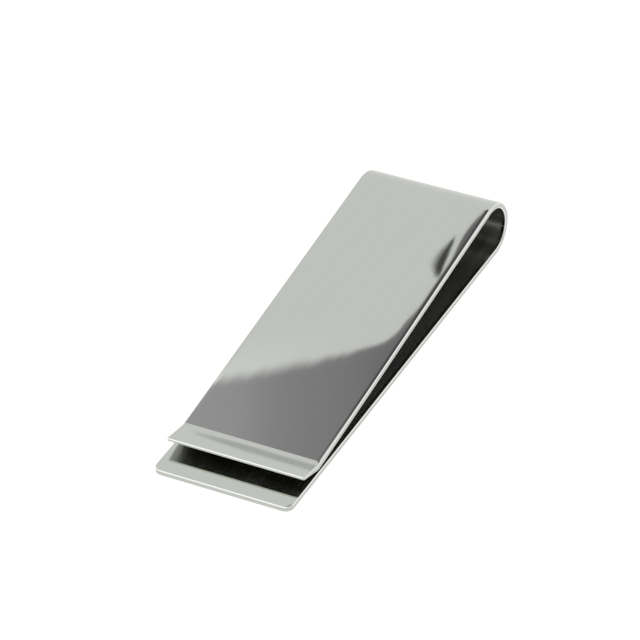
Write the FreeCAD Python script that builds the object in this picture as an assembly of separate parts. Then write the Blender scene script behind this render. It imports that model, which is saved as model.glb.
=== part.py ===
"""Spring money clip: one polished steel strip folded into a tapering clip.

The strip is described as it is formed, section by section, along the middle of
the sheet: a flat base leaf, a rising return bend in two radii, a straight
clamping leaf that slopes back down to the base, a small reverse bend that nips
the notes, and a turned-up lip for the thumb.

Frame, in millimetres: X along the clip from the open front to the return bend,
Y across the strip, Z up.  The origin is under the middle of the clip.
"""
import FreeCAD
import Part
import math
import os

# Sheet
WIDTH = 20.0
SHEET = 0.85
EDGE_RADIUS = 0.15

# Base leaf
BASE_LENGTH = 64.35
BASE_CORNER_RADIUS = 1.2

# Return bend, inside radii and the angle each part of it turns through
LOWER_BEND_RADIUS = 2.9
LOWER_BEND_TURN = 111.2
UPPER_BEND_RADIUS = 4.95
UPPER_BEND_TURN = 75.96

# Clamping leaf
LEAF_LENGTH = 53.15

# Lip, turned up from the leaf by the reverse bend
LIP_BEND_RADIUS = 2.8
LIP_BEND_TURN = 17.66
LIP_LENGTH = 3.97
LIP_TIP_THICKNESS = 0.46
LIP_CORNER_RADIUS = 0.3

# Worked out from the above
HALF_SHEET = SHEET / 2
HALF_WIDTH = WIDTH / 2
OVERALL_LENGTH = BASE_LENGTH + LOWER_BEND_RADIUS + SHEET
FRONT_X = -OVERALL_LENGTH / 2
TOLERANCE = 1e-4  # closer than this, two places are the same


class Station:
    """A place on the middle line of the sheet and the way the strip runs there."""

    def __init__(self, x, z, heading):
        """The heading is in degrees, counted up from the +X direction."""
        self.x = x
        self.z = z
        self.heading = heading

    def along(self):
        """Unit vector in the strip's running direction."""
        angle = math.radians(self.heading)
        return FreeCAD.Vector(math.cos(angle), 0, math.sin(angle))

    def normal(self):
        """Unit vector across the sheet, towards the inside of the clip."""
        angle = math.radians(self.heading)
        return FreeCAD.Vector(-math.sin(angle), 0, math.cos(angle))

    def point(self):
        """The place itself."""
        return FreeCAD.Vector(self.x, 0, self.z)

    def after_straight(self, length):
        """Station at the end of a straight run."""
        end = self.point() + self.along() * length
        return Station(end.x, end.z, self.heading)

    def bend_centre(self, inside_radius, inward=True):
        """Centre of a bend that starts here."""
        side = 1 if inward else -1
        return self.point() + self.normal() * (side * (inside_radius + HALF_SHEET))

    def after_bend(self, inside_radius, turn, inward=True):
        """Station at the end of a bend."""
        side = 1 if inward else -1
        centre = self.bend_centre(inside_radius, inward)
        end = Station(centre.x, centre.z, self.heading + side * turn)
        place = end.point() - end.normal() * (side * (inside_radius + HALF_SHEET))
        return Station(place.x, place.z, end.heading)


def cross_section(station):
    """The strip's section with its rounded long edges, as a face at a station."""

    def place(y, n):
        return station.point() + FreeCAD.Vector(0, y, 0) + station.normal() * n

    flat_y = HALF_WIDTH - EDGE_RADIUS
    flat_n = HALF_SHEET - EDGE_RADIUS
    diagonal = EDGE_RADIUS * math.sqrt(0.5)
    edges = []
    for y_side, n_side in ((1, 1), (-1, 1), (-1, -1), (1, -1)):
        on_side = place(y_side * HALF_WIDTH, n_side * flat_n)
        middle = place(y_side * (flat_y + diagonal), n_side * (flat_n + diagonal))
        on_skin = place(y_side * flat_y, n_side * HALF_SHEET)
        edges.append(Part.Arc(on_side, middle, on_skin).toShape())
    for side in (1, -1):
        edges.append(Part.makeLine(place(flat_y, side * HALF_SHEET), place(-flat_y, side * HALF_SHEET)))
        edges.append(Part.makeLine(place(side * HALF_WIDTH, flat_n), place(side * HALF_WIDTH, -flat_n)))
    return Part.Face(Part.Wire(Part.__sortEdges__(edges)))


def straight_section(start, length):
    """A straight run of the strip."""
    return cross_section(start).extrude(start.along() * length)


def bent_section(start, inside_radius, turn, inward=True):
    """A run of the strip bent to a constant radius."""
    axis = FreeCAD.Vector(0, -1, 0) if inward else FreeCAD.Vector(0, 1, 0)
    centre = start.bend_centre(inside_radius, inward)
    return cross_section(start).revolve(centre, axis, turn)


def runs_through_sheet(edge, normal):
    """True for a straight edge from one skin of the sheet to the other."""
    run = edge.Vertexes[-1].Point - edge.Vertexes[0].Point
    return run.cross(normal).Length < TOLERANCE


def rounded_plan_corners(blank, tip, along, normal, radius):
    """Round the two free corners of a blank, seen from above."""
    corners = []
    for edge in blank.Edges:
        distance = abs((edge.CenterOfMass - tip).dot(along))
        if runs_through_sheet(edge, normal) and distance < TOLERANCE:
            corners.append(edge)
    return blank.makeFillet(radius, corners)


def softened_rim(blank, joined_end, along, normal):
    """Take the sharpness off every edge that is not on the joined end."""
    rim = []
    for edge in blank.Edges:
        distances = [abs((vertex.Point - joined_end).dot(along)) for vertex in edge.Vertexes]
        is_free = max(distances) > TOLERANCE
        if is_free and not runs_through_sheet(edge, normal):
            rim.append(edge)
    return blank.makeFillet(EDGE_RADIUS, rim)


def base_leaf(rear):
    """Flat leaf that lies on the table, with its front corners rounded."""
    blank = Part.makeBox(BASE_LENGTH, WIDTH, SHEET, FreeCAD.Vector(FRONT_X, -HALF_WIDTH, 0))
    forward = FreeCAD.Vector(-1, 0, 0)
    up = FreeCAD.Vector(0, 0, 1)
    front = FreeCAD.Vector(FRONT_X, 0, HALF_SHEET)
    blank = rounded_plan_corners(blank, front, forward, up, BASE_CORNER_RADIUS)
    return softened_rim(blank, rear.point(), forward, up)


def thumb_lip(root):
    """Turned-up end of the leaf, ground thinner on its underside."""
    along = root.along()
    inward = root.normal()
    top_root = root.point() - inward * HALF_SHEET
    top_tip = top_root + along * LIP_LENGTH
    under_tip = top_tip + inward * LIP_TIP_THICKNESS
    under_root = root.point() + inward * HALF_SHEET
    outline = Part.makePolygon([top_root, top_tip, under_tip, under_root, top_root])
    outline.translate(FreeCAD.Vector(0, -HALF_WIDTH, 0))
    blank = Part.Face(outline).extrude(FreeCAD.Vector(0, WIDTH, 0))
    blank = rounded_plan_corners(blank, top_tip, along, inward, LIP_CORNER_RADIUS)
    return softened_rim(blank, root.point(), along, inward)


def build():
    """Every section of the strip, keyed by its name."""
    base_rear = Station(FRONT_X + BASE_LENGTH, HALF_SHEET, heading=0.0)
    bend_middle = base_rear.after_bend(LOWER_BEND_RADIUS, LOWER_BEND_TURN)
    leaf_rear = bend_middle.after_bend(UPPER_BEND_RADIUS, UPPER_BEND_TURN)
    leaf_front = leaf_rear.after_straight(LEAF_LENGTH)
    lip_root = leaf_front.after_bend(LIP_BEND_RADIUS, LIP_BEND_TURN, inward=False)
    return {
        "base_leaf": base_leaf(base_rear),
        "return_bend_lower": bent_section(base_rear, LOWER_BEND_RADIUS, LOWER_BEND_TURN),
        "return_bend_upper": bent_section(bend_middle, UPPER_BEND_RADIUS, UPPER_BEND_TURN),
        "clamping_leaf": straight_section(leaf_rear, LEAF_LENGTH),
        "nip_bend": bent_section(leaf_front, LIP_BEND_RADIUS, LIP_BEND_TURN, inward=False),
        "thumb_lip": thumb_lip(lip_root),
    }


os.makedirs("parts", exist_ok=True)
for node, shape in build().items():
    shape.exportStep("parts/" + node + ".step")
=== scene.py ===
import math

import bpy
import numpy as np
from mathutils import Matrix, Vector


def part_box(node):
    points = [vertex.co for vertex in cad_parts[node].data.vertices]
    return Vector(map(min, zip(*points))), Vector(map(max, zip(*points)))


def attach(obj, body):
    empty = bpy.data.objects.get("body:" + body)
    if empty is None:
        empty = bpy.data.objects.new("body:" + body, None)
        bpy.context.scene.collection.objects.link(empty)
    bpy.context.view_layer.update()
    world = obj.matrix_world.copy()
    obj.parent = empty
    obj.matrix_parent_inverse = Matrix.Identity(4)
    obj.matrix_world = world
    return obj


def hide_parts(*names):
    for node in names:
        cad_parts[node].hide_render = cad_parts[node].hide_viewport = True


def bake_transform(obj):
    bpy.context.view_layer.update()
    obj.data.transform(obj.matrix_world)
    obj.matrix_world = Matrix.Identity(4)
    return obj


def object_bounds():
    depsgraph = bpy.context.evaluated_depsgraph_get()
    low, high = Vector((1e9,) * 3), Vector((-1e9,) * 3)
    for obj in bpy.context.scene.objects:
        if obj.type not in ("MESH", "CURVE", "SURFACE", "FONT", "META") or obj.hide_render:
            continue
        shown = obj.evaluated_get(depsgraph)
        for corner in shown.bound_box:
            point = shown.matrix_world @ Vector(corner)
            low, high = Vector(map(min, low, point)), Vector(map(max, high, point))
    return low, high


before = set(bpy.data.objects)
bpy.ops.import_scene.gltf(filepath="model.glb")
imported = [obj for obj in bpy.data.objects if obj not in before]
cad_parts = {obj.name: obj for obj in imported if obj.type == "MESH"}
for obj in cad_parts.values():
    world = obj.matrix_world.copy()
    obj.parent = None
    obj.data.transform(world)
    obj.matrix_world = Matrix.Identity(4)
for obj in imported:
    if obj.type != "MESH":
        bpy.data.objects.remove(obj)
CAD_LOW, CAD_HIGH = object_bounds()

# ---------------------------------------------------------------- the strip, in millimetres
MM = 0.001
BASE_LOW, BASE_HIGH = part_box("base_leaf")
FRONT_X = BASE_LOW.x / MM
WIDTH = (BASE_HIGH.y - BASE_LOW.y) / MM
SHEET = (BASE_HIGH.z - BASE_LOW.z) / MM
BASE_LENGTH = (BASE_HIGH.x - BASE_LOW.x) / MM
BASE_CORNER_RADIUS = 1.2
LOWER_BEND_RADIUS, LOWER_BEND_TURN = 2.9, 111.2
UPPER_BEND_RADIUS, UPPER_BEND_TURN = 4.95, 75.96
LEAF_LENGTH = 53.15
LIP_BEND_RADIUS, LIP_BEND_TURN = 2.8, 17.66
LIP_LENGTH, LIP_TIP_THICKNESS, LIP_CORNER_RADIUS = 3.97, 0.46, 0.3
EDGE_RADIUS = 0.15
ROLL_WIDTH = 0.6       # band beside each edge where buffing has let the face fall away
ROLL_WIDTH_LIP = 0.17  # and beside the edges of the lip
ROLL_SLOPE = 4.0       # degrees, at its outer side

# Mesh steps
COLUMNS = 20
CORNER_STEPS = 10
BASE_ROWS, LEAF_ROWS, LIP_ROWS = 40, 40, 6
LOWER_BEND_ROWS, UPPER_BEND_ROWS, NIP_ROWS = 72, 60, 24
BEND_MARGIN, NIP_MARGIN = 0.2, 0.1  # a short row of each flat run next to a bend
ROLL_STEPS, ROUND_STEPS = 5, 8
SAME_PLACE = 1e-9


class Path:
    """The middle line of the folded sheet: a point and a heading for each length along it."""

    def __init__(self):
        self.runs = []
        self.length = 0.0
        self.end = (FRONT_X, SHEET / 2, 0.0)

    def straight(self, length):
        """Add a straight run and return the length so far."""
        x, z, heading = self.end
        self.runs.append((self.length, length, self.end, 0.0, 0))
        self.length += length
        self.end = (x + length * math.cos(heading), z + length * math.sin(heading), heading)
        return self.length

    def bend(self, inside_radius, turn, side):
        """Add a bend to one side of the sheet and return the length so far."""
        radius = inside_radius + SHEET / 2
        length = radius * math.radians(turn)
        run = (self.length, length, self.end, radius, side)
        self.runs.append(run)
        self.length += length
        self.end = self.place(run, length)
        return self.length

    @staticmethod
    def place(run, travelled):
        """Point and heading a distance into a run."""
        _, _, (x, z, heading), radius, side = run
        if not side:
            return x + travelled * math.cos(heading), z + travelled * math.sin(heading), heading
        centre_x = x - side * radius * math.sin(heading)
        centre_z = z + side * radius * math.cos(heading)
        turned = heading + side * travelled / radius
        return (centre_x + side * radius * math.sin(turned),
                centre_z - side * radius * math.cos(turned), turned)

    def at(self, u):
        """Point and heading at a length u from the front of the base."""
        for run in self.runs:
            start, length = run[:2]
            if u <= start + length + SAME_PLACE:
                break
        return self.place(run, u - start)


path = Path()
U_BASE = path.straight(BASE_LENGTH)
U_BEND_MIDDLE = path.bend(LOWER_BEND_RADIUS, LOWER_BEND_TURN, 1)
U_BEND = path.bend(UPPER_BEND_RADIUS, UPPER_BEND_TURN, 1)
U_LEAF = path.straight(LEAF_LENGTH)
U_NIP = path.bend(LIP_BEND_RADIUS, LIP_BEND_TURN, -1)
U_TIP = path.straight(LIP_LENGTH)


def spread(start, end, count):
    """Even steps after the start, up to and with the end."""
    return list(np.linspace(start, end, count + 1)[1:])


def strip_rows():
    """Rows across the strip: (length along, corner angle in degrees, which end's corner)."""
    lengths = [BASE_CORNER_RADIUS] + spread(BASE_CORNER_RADIUS, U_BASE - BEND_MARGIN, BASE_ROWS) + [U_BASE]
    lengths += spread(U_BASE, U_BEND_MIDDLE, LOWER_BEND_ROWS)
    lengths += spread(U_BEND_MIDDLE, U_BEND, UPPER_BEND_ROWS)
    leaf_start = U_BEND + BEND_MARGIN
    lengths += [leaf_start] + spread(leaf_start, U_LEAF - NIP_MARGIN, LEAF_ROWS) + [U_LEAF]
    lengths += spread(U_LEAF, U_NIP, NIP_ROWS)
    lip_start = U_NIP + NIP_MARGIN
    lengths += [lip_start] + spread(lip_start, U_TIP - LIP_CORNER_RADIUS, LIP_ROWS)
    angles = [90.0 * step / CORNER_STEPS for step in range(1, CORNER_STEPS + 1)]
    front = [(None, angle, "front") for angle in reversed(angles)]
    tip = [(None, angle, "tip") for angle in angles]
    return front + [(u, 0.0, None) for u in lengths] + tip


ROWS = strip_rows()
LAST = len(ROWS) - 1


def row_at(u):
    """Number of the row that lies at a length u."""
    return next(i for i, row in enumerate(ROWS) if row[0] is not None and abs(row[0] - u) < SAME_PLACE)


def outline(row, side):
    """Outline point (u, y) and its outward direction at one end of a row."""
    u, angle, end = ROWS[row]
    if end is None:
        return u, side * WIDTH / 2, 0.0, side
    radius = BASE_CORNER_RADIUS if end == "front" else LIP_CORNER_RADIUS
    s, c = math.sin(math.radians(angle)), math.cos(math.radians(angle))
    y = side * (WIDTH / 2 - radius + radius * c)
    if end == "front":
        return radius * (1 - s), y, -s, side * c
    return U_TIP - radius * (1 - s), y, s, side * c


def inside_face(u):
    """The inside face's height across the sheet, and its slope, thinned along the lip."""
    if u <= U_NIP:
        return SHEET / 2, 0.0
    slope = (SHEET - LIP_TIP_THICKNESS) / LIP_LENGTH
    return SHEET / 2 - slope * (u - U_NIP), slope


def roll_width(u):
    """Width of the buffed-away band, narrowing round the nip."""
    t = min(max((u - U_LEAF) / (U_NIP - U_LEAF), 0.0), 1.0)
    return ROLL_WIDTH + (ROLL_WIDTH_LIP - ROLL_WIDTH) * t


def edge_profile(width):
    """Points from one face round the edge to the middle of the side: (inset, drop, tilt)."""
    points = []
    top = math.radians(ROLL_SLOPE)
    reach = width - EDGE_RADIUS * (1 - math.sin(top))
    for t in np.linspace(0, 1, ROLL_STEPS + 1):
        points.append((width - reach * t, math.tan(top) * reach * t * t / 2, top * t))
    drop = points[-1][1]
    for tilt in spread(top, math.pi / 2, ROUND_STEPS):
        points.append((EDGE_RADIUS * (1 - math.sin(tilt)),
                       drop + EDGE_RADIUS * (math.cos(top) - math.cos(tilt)), tilt))
    return points


BELT = 2 * len(edge_profile(ROLL_WIDTH)) - 1


def lift(u, y, n, nu, ny, nn):
    """Strip coordinates and a strip direction to the clip's frame, in metres."""
    x, z, heading = path.at(min(max(u, 0.0), U_TIP))
    s, c = math.sin(heading), math.cos(heading)
    place = ((x - n * s) * MM, y * MM, (z + n * c) * MM)
    length = math.sqrt(nu * nu + ny * ny + nn * nn)
    direction = ((nu * c - nn * s) / length, ny / length, (nu * s + nn * c) / length)
    return place, direction


def face_vertex(row, column, inside):
    """A vertex on one of the two big faces, with its place on the unrolled skin."""
    ends = []
    for side in (-1, 1):
        u, y, du, dy = outline(row, side)
        width = roll_width(u)
        ends.append((u - width * du, y - width * dy))
    t = column / COLUMNS
    u = ends[0][0] * (1 - t) + ends[1][0] * t
    y = ends[0][1] * (1 - t) + ends[1][1] * t
    if not inside:
        return lift(u, y, -SHEET / 2, 0, 0, -1), (u, y)
    n, slope = inside_face(u)
    return lift(u, y, n, slope, 0, 1), (u, WIDTH + SHEET - y)


def belt_vertex(u, y, du, dy, k):
    """A vertex on the edge belt: k runs from the outside face round to the inside face."""
    profile = edge_profile(roll_width(u))
    outer = k < len(profile)
    inset, drop, tilt = profile[k] if outer else profile[BELT - k]
    uu, yy = u - inset * du, y - inset * dy
    s, c = math.sin(tilt), math.cos(tilt)
    n_in, slope = inside_face(uu)
    n = -SHEET / 2 + drop if outer else n_in - drop
    strip = (s * du, s * dy, -c) if outer else (s * du + slope * c, s * dy, c)
    wrap = math.copysign(WIDTH / 2 + n + SHEET / 2, y)
    return lift(uu, yy, n, *strip), (uu, wrap)


class Section:
    """One named length of the strip, as a closed mesh that keeps the whole strip's normals."""

    def __init__(self, name, first, last):
        self.name, self.first, self.last = name, first, last
        self.index, self.co, self.normal, self.uv = {}, [], [], []
        self.faces, self.caps = [], []
        self.first_end_face = 0

    def vertex(self, key):
        """Number of the vertex with this key, made the first time that it is asked for."""
        if key not in self.index:
            kind, a, b = key
            if kind in ("out", "in"):
                (place, direction), uv = face_vertex(a, b, kind == "in")
            elif kind in (-1, 1):
                (place, direction), uv = belt_vertex(*outline(a, kind), b)
            else:
                row = 0 if kind == "front" else LAST
                u, y0, du, _ = outline(row, -1)
                y1 = outline(row, 1)[1]
                (place, direction), uv = belt_vertex(u, y0 + (y1 - y0) * a / COLUMNS, du, 0.0, b)
            self.index[key] = len(self.co)
            self.co.append(place)
            self.normal.append(direction)
            self.uv.append(uv)
        return self.index[key]

    @staticmethod
    def end_key(end, column, k):
        """Key of a vertex on the belt across the front or the tip."""
        row = 0 if end == "front" else LAST
        if k == 0:
            return ("out", row, column)
        if k == BELT:
            return ("in", row, column)
        return (end, column, k)

    def side_key(self, row, side, k):
        """Key of a vertex on the belt along one side."""
        column = 0 if side < 0 else COLUMNS
        if row == 0:
            return self.end_key("front", column, k)
        if row == LAST:
            return self.end_key("tip", column, k)
        if k == 0:
            return ("out", row, column)
        if k == BELT:
            return ("in", row, column)
        return (side, row, k)

    def quad(self, keys, flip):
        ids = [self.vertex(k) for k in keys]
        self.faces.append(ids[::-1] if flip else ids)

    def add_faces_and_sides(self):
        """The two big faces and the belts along both sides."""
        for r in range(self.first, self.last):
            for c in range(COLUMNS):
                for kind, flip in (("out", True), ("in", False)):
                    self.quad([(kind, r, c), (kind, r + 1, c), (kind, r + 1, c + 1), (kind, r, c + 1)], flip)
            for side in (-1, 1):
                for k in range(BELT):
                    self.quad([self.side_key(r, side, k), self.side_key(r + 1, side, k),
                               self.side_key(r + 1, side, k + 1), self.side_key(r, side, k + 1)], side > 0)

    def add_free_ends(self):
        """The belt across the front of the base or across the tip of the lip."""
        self.first_end_face = len(self.faces)
        for end, row, flip in (("front", 0, False), ("tip", LAST, True)):
            if not self.first <= row <= self.last:
                continue
            for c in range(COLUMNS):
                for k in range(BELT):
                    self.quad([self.end_key(end, c, k), self.end_key(end, c, k + 1),
                               self.end_key(end, c + 1, k + 1), self.end_key(end, c + 1, k)], flip)

    def add_caps(self):
        """A flat face over each end that meets another section."""
        for row, flip in ((self.first, True), (self.last, False)):
            if row in (0, LAST):
                continue
            ring = [("out", row, c) for c in range(COLUMNS + 1)]
            ring += [self.side_key(row, 1, k) for k in range(1, BELT)]
            ring += [("in", row, c) for c in range(COLUMNS, -1, -1)]
            ring += [self.side_key(row, -1, k) for k in range(BELT - 1, 0, -1)]
            ids = [self.vertex(k) for k in ring]
            self.caps.append(ids[::-1] if flip else ids)

    def build(self):
        """Make the mesh and put it in the scene."""
        self.add_faces_and_sides()
        self.add_free_ends()
        self.add_caps()
        mesh = bpy.data.meshes.new(self.name)
        mesh.from_pydata(self.co, [], self.faces + self.caps)
        mesh.polygons.foreach_set("use_smooth", [True] * len(mesh.polygons))
        layer = mesh.uv_layers.new(name="strip")
        normals = []
        for polygon in mesh.polygons:
            is_cap = polygon.index >= len(self.faces)
            at_end = polygon.index >= self.first_end_face
            for loop in polygon.loop_indices:
                v = mesh.loops[loop].vertex_index
                along, across = self.uv[v]
                layer.data[loop].uv = (along * MM, (abs(across) if at_end else across) * MM)
                normals.append(polygon.normal if is_cap else self.normal[v])
        mesh.normals_split_custom_set(normals)
        mesh.update()
        obj = bpy.data.objects.new(self.name, mesh)
        bpy.context.scene.collection.objects.link(obj)
        return obj


# ---------------------------------------------------------------- nodes
class Nodes:
    """A short way to write a node tree."""

    def __init__(self, tree):
        self.tree = tree
        tree.nodes.clear()

    def add(self, kind, inputs=None, **settings):
        """Add a node, with a value or another node's socket for each input."""
        node = self.tree.nodes.new(kind)
        for key, value in settings.items():
            setattr(node, key, value)
        for key, value in (inputs or {}).items():
            socket = node.inputs[key]
            if isinstance(value, bpy.types.NodeSocket):
                self.tree.links.new(value, socket)
            else:
                socket.default_value = value
        return node

    def math(self, operation, a, b=0.0, c=0.0):
        return self.add("ShaderNodeMath", {0: a, 1: b, 2: c}, operation=operation).outputs[0]

    def product(self, *factors):
        """All the factors multiplied together."""
        result = factors[0]
        for factor in factors[1:]:
            result = self.math("MULTIPLY", result, factor)
        return result

    def mix(self, factor, a, b):
        """A number that goes from a to b with the factor."""
        return self.math("MULTIPLY_ADD", factor, self.math("SUBTRACT", b, a), a)

    def mix_colour(self, factor, a, b):
        return self.add("ShaderNodeMix", {"Factor": factor, 6: a, 7: b}, data_type="RGBA").outputs[2]

    def smooth(self, value, low, high):
        """A soft step from 0 at low to 1 at high."""
        node = self.add("ShaderNodeMapRange", {"Value": value, "From Min": low, "From Max": high},
                        interpolation_type="SMOOTHSTEP")
        return node.outputs["Result"]

    def ramp(self, value, low, high, start, end):
        """A straight ramp from start at low to end at high."""
        node = self.add("ShaderNodeMapRange", {"Value": value, "From Min": low, "From Max": high,
                                               "To Min": start, "To Max": end})
        return node.outputs["Result"]

    def curve(self, value, points):
        """A curve drawn through (x, y) points."""
        low, high = points[0][0], points[-1][0]
        bottom = min(y for _, y in points)
        top = max(y for _, y in points)
        node = self.add("ShaderNodeFloatCurve", {"Value": self.ramp(value, low, high, 0.0, 1.0)})
        knots = node.mapping.curves[0].points
        while len(knots) < len(points):
            knots.new(0.5, 0.5)
        for knot, (x, y) in zip(knots, points):
            knot.location = ((x - low) / (high - low), (y - bottom) / (top - bottom))
        node.mapping.update()
        return self.math("MULTIPLY_ADD", node.outputs[0], top - bottom, bottom)


# ---------------------------------------------------------------- the steel
POLISHED_TINT = (0.611, 0.631, 0.589)
TINT_CHANGE = 0.012
POLISHED_ROUGHNESS = 0.013
ROUGHNESS_SPREAD = (0.8, 1.3)       # between the fine lines and on them
EDGE_HIGHLIGHT_TINT = (0.92, 0.93, 0.91)      # the roundings are burnished, and tinted brighter than the faces as a painted highlight
EDGE_START = (0.02, 0.05)           # where that starts, in millimetres down the side of the sheet
EDGE_END = (1.3, 0.8)               # and where it ends, in edge radii
# painted shade inside the fold: a dark tint, mottled with lighter patches that paint soft highlights
PAINTED_INSIDE_SHADE_DARK = (0.26, 0.26, 0.25)
PAINTED_INSIDE_SHADE_LIGHT = (0.44, 0.435, 0.425)
DULL_ROUGHNESS = 0.30
DULL_AND_SHADED_FROM, DULL_AND_SHADED_RAMP = 8.0, 2.0     # the inside of the fold is dull, and painted dark as shade, from here along the base
BUFFED_UNSHADED_MARGIN = 0.4                 # and polished, with no painted shade, again this close to its edges

# Marks in the steel: how many to a metre along it and across it, their detail, and a shift of the noise
FINE_LINES = (90.0, 9000.0, 3.0, 3.7)
BROAD_LINES = (60.0, 1100.0, 2.0, 8.1)
WAVES = (70.0, 120.0, 1.0, 1.3)
# the last are streaks of painted light and shade inside the fold
INSIDE_SHADE_STREAKS = (30.0, 420.0, 2.0, 5.2)
MARK_ROUGHNESS = 0.6
FINE_RANGE, INSIDE_SHADE_STREAK_RANGE = (0.3, 0.7), (0.35, 0.70)        # of the noise that makes them
FINE_HEIGHT, BROAD_HEIGHT, WAVE_HEIGHT = 1e-8, 5e-8, 8e-7  # metres


def shade(colour, change=0.0):
    """A colour made lighter or darker, with its alpha."""
    return tuple(c + change for c in colour) + (1.0,)


def marks(n, along, across, kind):
    """Noise drawn out along the strip."""
    length_scale, width_scale, detail, shift = kind
    vector = n.add("ShaderNodeCombineXYZ", {0: n.math("MULTIPLY_ADD", along, length_scale, shift),
                                            1: n.math("MULTIPLY", across, width_scale), 2: shift})
    return n.add("ShaderNodeTexNoise", {"Vector": vector.outputs[0], "Scale": 1.0, "Detail": detail,
                                        "Roughness": MARK_ROUGHNESS}).outputs["Fac"]


def dull_and_shaded_inside(n, along, across):
    """1 inside the fold, where the buffing wheel doesn't reach and where shade is painted into the tint."""
    low = (WIDTH / 2 + SHEET) * MM
    high = (WIDTH * 1.5 + SHEET) * MM
    margin = BUFFED_UNSHADED_MARGIN * MM
    return n.product(n.smooth(across, low, low + margin), n.smooth(across, high, high - margin),
                     n.smooth(along, DULL_AND_SHADED_FROM * MM, (DULL_AND_SHADED_FROM + DULL_AND_SHADED_RAMP) * MM))


def burnished_edge_highlight(n, across):
    """1 on the rounding between each face and the side of the sheet, where a brighter tint paints a
    highlight.
    """
    wrap = n.math("ABSOLUTE", across)
    from_outside = n.math("SUBTRACT", wrap, WIDTH / 2 * MM)
    from_inside = n.math("SUBTRACT", (WIDTH / 2 + SHEET) * MM, wrap)
    inwards = n.math("MINIMUM", from_outside, from_inside)
    return n.product(n.smooth(inwards, *[place * MM for place in EDGE_START]),
                     n.smooth(inwards, *[place * EDGE_RADIUS * MM for place in EDGE_END]))


def steel(name):
    """Mirror-polished stainless with fine lines along the strip, left dull and painted dark as shade inside
    the fold, with a painted highlight on the edge roundings.
    """
    material = bpy.data.materials.new(name)
    material.use_nodes = True
    n = Nodes(material.node_tree)
    split = n.add("ShaderNodeSeparateXYZ", {0: n.add("ShaderNodeUVMap", uv_map="strip").outputs[0]})
    along, across = split.outputs[0], split.outputs[1]
    fine = marks(n, along, across, FINE_LINES)
    broad = marks(n, along, across, BROAD_LINES)

    height = n.math("MULTIPLY", fine, FINE_HEIGHT)
    height = n.math("MULTIPLY_ADD", broad, BROAD_HEIGHT, height)
    height = n.math("MULTIPLY_ADD", marks(n, along, across, WAVES), WAVE_HEIGHT, height)
    bump = n.add("ShaderNodeBump", {"Height": height, "Distance": 1.0, "Strength": 1.0}).outputs["Normal"]

    inside_dull_and_shade = dull_and_shaded_inside(n, along, across)
    # painted shade inside the fold, mottled by streaks of painted soft highlights
    light_and_shade_streaks = n.smooth(marks(n, along, across, INSIDE_SHADE_STREAKS), *INSIDE_SHADE_STREAK_RANGE)
    tint = n.mix_colour(broad, shade(POLISHED_TINT, -TINT_CHANGE), shade(POLISHED_TINT, TINT_CHANGE))
    tint = n.mix_colour(inside_dull_and_shade, tint, n.mix_colour(light_and_shade_streaks, shade(PAINTED_INSIDE_SHADE_DARK), shade(PAINTED_INSIDE_SHADE_LIGHT)))
    # painted highlight: the edge roundings get a brighter tint than the faces
    tint = n.mix_colour(burnished_edge_highlight(n, across), tint, shade(EDGE_HIGHLIGHT_TINT))
    rough = n.ramp(fine, *FINE_RANGE, *[POLISHED_ROUGHNESS * part for part in ROUGHNESS_SPREAD])
    rough = n.math("MULTIPLY_ADD", inside_dull_and_shade, DULL_ROUGHNESS, rough)
    shader = n.add("ShaderNodeBsdfPrincipled", {"Base Color": tint, "Metallic": 1.0, "Roughness": rough,
                                                "Normal": bump})
    n.add("ShaderNodeOutputMaterial", {"Surface": shader.outputs[0]})
    return material


# ---------------------------------------------------------------- the clip
# Each piece of the strip: name, first and last row, the body it rides on, the CAD nodes it stands for
SECTIONS = [
    ("base_leaf_strip", 0, row_at(U_BASE), "base", ["base_leaf"]),
    ("return_bend_strip", row_at(U_BASE), row_at(U_BEND), None, ["return_bend_lower", "return_bend_upper"]),
    ("clamping_leaf_strip", row_at(U_BEND), row_at(U_LEAF), "clamp_arm", ["clamping_leaf"]),
    ("nip_bend_strip", row_at(U_LEAF), row_at(U_NIP), "clamp_arm", ["nip_bend"]),
    ("thumb_lip_strip", row_at(U_NIP), LAST, "clamp_arm", ["thumb_lip"]),
]


def bend_with_hinge(piece):
    """Bake the return bend's place into its mesh; it stays fixed and doesn't follow the leaves."""
    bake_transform(piece)


def build_clip():
    """Every piece of the strip, in one steel."""
    polished = steel("polished_steel")
    for name, first, last, body, nodes in SECTIONS:
        piece = Section(name, first, last).build()
        piece.data.materials.append(polished)
        if body:
            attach(piece, body)
        else:
            bend_with_hinge(piece)
        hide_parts(*nodes)


build_clip()

# ---------------------------------------------------------------- camera
CAMERA_AZIMUTH, CAMERA_ELEVATION, CAMERA_ROLL = -62.744, 35.662, -1.406
CAMERA_DISTANCE, CAMERA_LENS, SENSOR_WIDTH = 0.4939, 202.86, 36.0
CAMERA_CLIP = (0.01, 50.0)
CAMERA_TARGET = Vector((0.03963 + FRONT_X * MM, 0.00544, 0.0))


def camera_axes():
    """Right, up and back of the camera, as unit vectors."""
    azimuth, elevation, roll = (math.radians(a) for a in (CAMERA_AZIMUTH, CAMERA_ELEVATION, CAMERA_ROLL))
    back = Vector((math.sin(azimuth) * math.cos(elevation), -math.cos(azimuth) * math.cos(elevation),
                   math.sin(elevation)))
    level_right = Vector((math.cos(azimuth), math.sin(azimuth), 0.0))
    level_up = back.cross(level_right)
    right = level_right * math.cos(roll) + level_up * math.sin(roll)
    up = level_up * math.cos(roll) - level_right * math.sin(roll)
    return right, up, back


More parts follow.
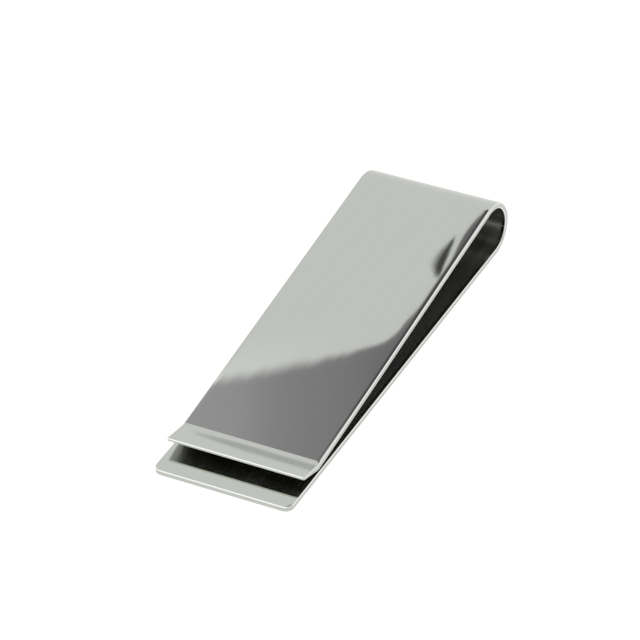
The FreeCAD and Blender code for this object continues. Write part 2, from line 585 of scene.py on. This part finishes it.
def add_camera():
    """A long lens from the front right, above the table."""
    right, up, back = camera_axes()
    data = bpy.data.cameras.new("camera")
    data.sensor_width = SENSOR_WIDTH
    data.lens = CAMERA_LENS
    data.clip_start, data.clip_end = CAMERA_CLIP
    camera = bpy.data.objects.new("camera", data)
    turn = Matrix((right, up, back)).transposed().to_4x4()
    camera.matrix_world = Matrix.Translation(CAMERA_TARGET + back * CAMERA_DISTANCE) @ turn
    bpy.context.scene.collection.objects.link(camera)
    bpy.context.scene.camera = camera


add_camera()

# ---------------------------------------------------------------- floor
WHITE = (1.0, 1.0, 1.0, 1.0)
FLOOR_SEEN, FLOOR_REFLECTED, FLOOR_MATTE = 0.97, 0.75, 0.15
FLOOR_HALF_SIDE = 6.0   # metres
FLOOR_GAP = 0.00002     # so that the clip's underside isn't in the floor's plane


def add_floor():
    """A white glowing table under the clip, a little darker in what the steel mirrors."""
    s = FLOOR_HALF_SIDE
    mesh = bpy.data.meshes.new("floor")
    mesh.from_pydata([(-s, -s, 0), (s, -s, 0), (s, s, 0), (-s, s, 0)], [], [(0, 1, 2, 3)])
    floor = bpy.data.objects.new("floor", mesh)
    floor.location.z = CAD_LOW.z - FLOOR_GAP
    bpy.context.scene.collection.objects.link(floor)
    material = bpy.data.materials.new("floor")
    material.use_nodes = True
    n = Nodes(material.node_tree)
    seen = n.add("ShaderNodeLightPath").outputs["Is Camera Ray"]
    strength = n.mix(seen, FLOOR_REFLECTED, FLOOR_SEEN)
    glow = n.add("ShaderNodeEmission", {"Color": WHITE, "Strength": strength})
    matte = n.add("ShaderNodeBsdfDiffuse", {"Color": shade([FLOOR_MATTE] * 3)})
    both = n.add("ShaderNodeAddShader", {0: glow.outputs[0], 1: matte.outputs[0]})
    n.add("ShaderNodeOutputMaterial", {"Surface": both.outputs[0]})
    mesh.materials.append(material)


add_floor()

# ---------------------------------------------------------------- the room that the steel mirrors
# A pale tent with a dark panel, a slim dark lamp stand and a grey card. Directions are unit vectors, and
# places on the panel, the stand and the streak are in degrees (right, up) of what one face mirrors.
# A pair is where a soft step starts and where it is full.
BACKDROP_SEEN = 1.1
WALL, SKY, ZENITH = 0.85, 1.0, 0.75
WALL_SIDE, WALL_EDGE = (0.92, 0.38, 0.0), (0.35, 0.60)
ZENITH_EDGE = (0.93, 0.97)
CARD, CARD_SIDE, CARD_EDGE = 0.30, (-0.25, -0.95, 0.2), (0.70, 0.90)

PANEL_EDGE = [(-3.5, -1.24), (-1.6, -0.95), (-0.2, -0.68), (0.6, -0.48), (1.05, -0.33), (1.4, 0.0),
              (2.0, 0.8), (2.32, 1.4), (2.6, 1.71), (3.8, 2.7)]
PANEL_CORNER_SLOPE, PANEL_CORNER_DROP = 1.486, -2.15   # its upper right side, a straight line
PANEL_LEFT, PANEL_LEFT_SLOPE = -1.6, 0.82              # it rises again to the left of here
PANEL_BOTTOM, PANEL_LEFT_END, PANEL_RIGHT_END = (-5.0, -4.0), (-18.0, -15.0), (7.0, 6.2)
PANEL_SOFT_FROM, PANEL_SOFT_TO = (-0.5, 1.2), (0.13, 0.014)  # half the width of its edge, left and right
PANEL_LEVEL = [(-3.5, 0.47), (-1.7, 0.44), (-0.5, 0.33), (0.5, 0.28), (1.0, 0.235), (2.4, 0.175),
               (4.0, 0.09)]
PANEL_TINT = (1.02, 0.985, 1.06)
FRINGE_SLANT, FRINGE_SCALE, FRINGE_HEIGHT, FRINGE_START = -0.67, 4.5, 0.17, (1.2, 0.2)
GLOW_ABOVE_PANEL, GLOW_REACH, GLOW_START = 0.13, (0.8, 0.0), (1.0, -2.5)

STAND, STAND_SLOPE, STAND_RIGHT, STAND_MIDDLE = 0.05, 0.42, 1.605, 1.0
STAND_SIDE, STAND_FADE, STAND_ENDS = (0.006, -0.006), (1.15, 0.30), (0.38, 0.24)
STAND_WIDTH = [(0.6, 0.03), (0.78, 0.16), (0.92, 0.23), (1.06, 0.20), (1.2, 0.12), (1.4, 0.015)]

STREAK_SLOPE, STREAK_HEIGHT, STREAK_DEPTH = 0.30, 2.385, -0.36
STREAK_SIDE, STREAK_START, STREAK_WIDENS = (0.012, -0.012), (-2.07, -1.93), (-2.3, -1.2)
STREAK_POINT, STREAK_HALF_WIDTH = 0.004, 0.048
BARELY_AHEAD = 0.05   # keeps the angles finite for what lies behind


class Room(Nodes):
    """The world's node tree."""

    def __init__(self, tree):
        super().__init__(tree)
        self.direction = self.add("ShaderNodeTexCoord").outputs["Generated"]

    def component(self, vector):
        """The part of the room direction that lies along a vector."""
        node = self.add("ShaderNodeVectorMath", {0: self.direction, 1: tuple(vector)},
                        operation="DOT_PRODUCT")
        return node.outputs["Value"]

    def mirrored_by_face(self, u):
        """Degrees right of and above the middle of what the strip's outer face mirrors at a length u."""
        heading = path.at(u)[2]
        normal = Vector((math.sin(heading), 0, -math.cos(heading)))
        right, up, back = (axis - 2 * axis.dot(normal) * normal for axis in camera_axes())
        ahead = self.math("MAXIMUM", self.component(-back), BARELY_AHEAD)
        rightward = self.math("ARCTAN2", self.component(right), ahead)
        upward = self.math("ARCTAN2", self.component(up), ahead)
        return self.math("DEGREES", rightward), self.math("DEGREES", upward)


def tent(room):
    """Brightness of the tent: its walls, its front, its top and the grey card at one side."""
    level = room.mix(room.smooth(room.component(WALL_SIDE), *WALL_EDGE), SKY, WALL)
    level = room.mix(room.smooth(room.component((0.0, 0.0, 1.0)), *ZENITH_EDGE), level, ZENITH)
    return room.mix(room.smooth(room.component(CARD_SIDE), *CARD_EDGE), level, CARD)


def height_over_panel(room, h, v):
    """Degrees above the panel's uneven upper edge."""
    corner_line = room.math("MULTIPLY_ADD", h, PANEL_CORNER_SLOPE, PANEL_CORNER_DROP)
    edge = room.math("MAXIMUM", room.curve(h, PANEL_EDGE), corner_line)
    leftwards = room.math("MAXIMUM", room.math("SUBTRACT", PANEL_LEFT, h), 0.0)
    edge = room.math("MULTIPLY_ADD", leftwards, PANEL_LEFT_SLOPE, edge)
    slant = room.add("ShaderNodeCombineXYZ", {0: room.math("MULTIPLY_ADD", v, FRINGE_SLANT, h)}).outputs[0]
    fringe = room.add("ShaderNodeTexNoise", {"Vector": slant, "Scale": FRINGE_SCALE, "Detail": 2.0})
    fringe = room.math("SUBTRACT", fringe.outputs["Fac"], 0.5)
    fringe = room.product(fringe, room.smooth(h, *FRINGE_START))
    return room.math("MULTIPLY_ADD", fringe, FRINGE_HEIGHT, room.math("SUBTRACT", v, edge))


def dark_panel(room, level, h, v):
    """The panel, sharp at its right and soft at its left, and the glow of the wall above it."""
    above = height_over_panel(room, h, v)
    glow = room.product(room.smooth(above, *GLOW_REACH), room.smooth(h, *GLOW_START))
    level = room.math("MULTIPLY_ADD", glow, GLOW_ABOVE_PANEL, level)
    softness = room.ramp(h, *PANEL_SOFT_FROM, *PANEL_SOFT_TO)
    panel = room.product(room.smooth(above, softness, room.math("MULTIPLY", softness, -1.0)),
                         room.smooth(v, *PANEL_BOTTOM), room.smooth(h, *PANEL_LEFT_END),
                         room.smooth(h, *PANEL_RIGHT_END))
    return room.mix(panel, level, room.curve(h, PANEL_LEVEL)), panel


def lamp_stand(room, level, h, v):
    """The dark stand: sharp at its right side, fading to its left."""
    side = room.math("SUBTRACT", h, room.math("MULTIPLY_ADD", v, STAND_SLOPE, STAND_RIGHT))
    width = room.math("MULTIPLY", room.curve(v, STAND_WIDTH), -1.0)
    faded = room.math("DIVIDE", side, width)
    off_middle = room.math("ABSOLUTE", room.math("SUBTRACT", v, STAND_MIDDLE))
    stand = room.product(room.smooth(side, *STAND_SIDE), room.smooth(faded, *STAND_FADE),
                         room.smooth(off_middle, *STAND_ENDS))
    return room.mix(stand, level, STAND)


def lip_streak(room, level, h, v):
    """A faint fold of the tent that the lip mirrors, pointed at its left."""
    across = room.math("ADD", v, room.math("MULTIPLY_ADD", h, STREAK_SLOPE, STREAK_HEIGHT))
    widening = room.smooth(h, *STREAK_WIDENS)
    half_width = room.math("MULTIPLY_ADD", widening, STREAK_HALF_WIDTH, STREAK_POINT)
    outside = room.math("SUBTRACT", room.math("ABSOLUTE", across), half_width)
    streak = room.product(room.smooth(outside, *STREAK_SIDE), room.smooth(h, *STREAK_START))
    return room.math("MULTIPLY", level, room.math("MULTIPLY_ADD", streak, STREAK_DEPTH, 1.0))


def add_room():
    """The world: plain white behind the clip, and the tent in all that the steel mirrors."""
    world = bpy.data.worlds.new("studio")
    world.use_nodes = True
    bpy.context.scene.world = world
    room = Room(world.node_tree)
    leaf_mirrors = room.mirrored_by_face(U_LEAF)
    level, panel = dark_panel(room, tent(room), *leaf_mirrors)
    level = lamp_stand(room, level, *leaf_mirrors)
    level = lip_streak(room, level, *room.mirrored_by_face(U_TIP))
    cast = room.mix_colour(panel, WHITE, shade(PANEL_TINT))
    seen = room.add("ShaderNodeLightPath").outputs["Is Camera Ray"]
    light = room.add("ShaderNodeBackground", {"Color": room.mix_colour(seen, cast, WHITE),
                                              "Strength": room.mix(seen, level, BACKDROP_SEEN)})
    room.add("ShaderNodeOutputWorld", {"Surface": light.outputs[0]})


add_room()
bpy.context.scene.view_settings.view_transform = "Standard"
